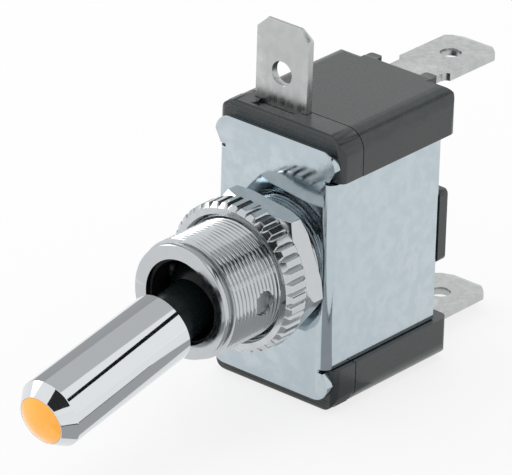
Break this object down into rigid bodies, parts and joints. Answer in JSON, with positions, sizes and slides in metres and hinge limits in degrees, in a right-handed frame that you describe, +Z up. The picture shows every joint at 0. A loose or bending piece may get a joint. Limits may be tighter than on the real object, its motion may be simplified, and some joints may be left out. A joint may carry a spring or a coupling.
{
  "type": "illuminated panel toggle switch",
  "caption": "Toggle switch with a threaded bushing, two nuts, a lit chrome lever, a steel bracket round a black moulding and flat blade terminals.",
  "frame": {"origin": "on the bushing axis, in the front face plane of the knurled nut, where the panel's front would be clamped", "axes": "-Y along the bushing axis towards the lever, +Z up towards the front terminal, +X to the right seen from the lever's side"},
  "size_m": [0.0156, 0.0623, 0.0369],
  "materials": {
    "plated_steel": "bright plated sheet steel",
    "plated_metal": "bright plated, turned",
    "lever_chrome": "mirror chrome",
    "pin_steel": "drawn steel",
    "spring_steel": "drawn wire",
    "tinned_metal": "tinned, satin",
    "black_moulding": "semi-gloss moulded",
    "black_liner": "matte",
    "black_stem": "semi-gloss moulded",
    "amber_lens": "translucent amber, glossy",
    "lamp_resin": "clear tinted resin",
    "resistor_body": "lacquered",
    "contact_brass": "stamped brass",
    "contact_silver": "silver contact"
  },
  "bodies": {
    "switch_body": {"frame_bracket": "plated_steel", "bushing": "plated_metal", "bore_liner": "black_liner", "pivot_pins": "pin_steel", "front_cover": "black_moulding", "housing": "black_moulding", "rocker_cradle": "contact_brass", "cradle_rivet": "tinned_metal", "front_terminal": "tinned_metal", "rear_upper_terminal": "tinned_metal", "rear_lower_terminal": "tinned_metal", "fixed_contact": "contact_silver"},
    "lever": {"lever_handle": "lever_chrome", "lever_lens": "amber_lens", "lever_stem": "black_stem", "lamp": "lamp_resin", "lamp_resistor": "resistor_body", "lamp_lead": "contact_brass", "plunger_spring": "spring_steel"},
    "plunger_body": {"plunger": "contact_brass"},
    "rocker_body": {"rocker_contact": "contact_brass", "moving_contact": "contact_silver"},
    "clamp_nut": {"hex_nut": "plated_metal"},
    "panel_nut": {"knurled_nut": "plated_metal"}
  },
  "joints": [
    {"name": "lever_toggle", "type": "hinge", "parent": "switch_body", "child": "lever", "pos_m": [0, -0.0017, 0], "axis": [-1, 0, 0], "range_deg": [0, 24.4]},
    {"name": "rocker_swing", "type": "hinge", "parent": "switch_body", "child": "rocker_body", "pos_m": [0, 0.017, 0], "axis": [1, 0, 0], "range_deg": [0, 14.64]},
    {"name": "plunger_slide", "type": "slide", "parent": "lever", "child": "plunger_body", "axis": [0, -0.9774, -0.2113], "range_m": [0, 0.0008], "stiffness_N_per_m": 300, "springref_m": -0.001, "deforming": ["plunger_spring"]},
    {"name": "hex_nut_travel", "type": "slide", "parent": "switch_body", "child": "clamp_nut", "axis": [0, 1, 0], "range_m": [0, 0.00115]},
    {"name": "knurled_nut_travel", "type": "slide", "parent": "switch_body", "child": "panel_nut", "axis": [0, -1, 0], "range_m": [0, 0.0059]}
  ],
  "couplings": [
    {"joint": "rocker_swing", "follows": "lever_toggle", "ratio": 0.6}
  ]
}
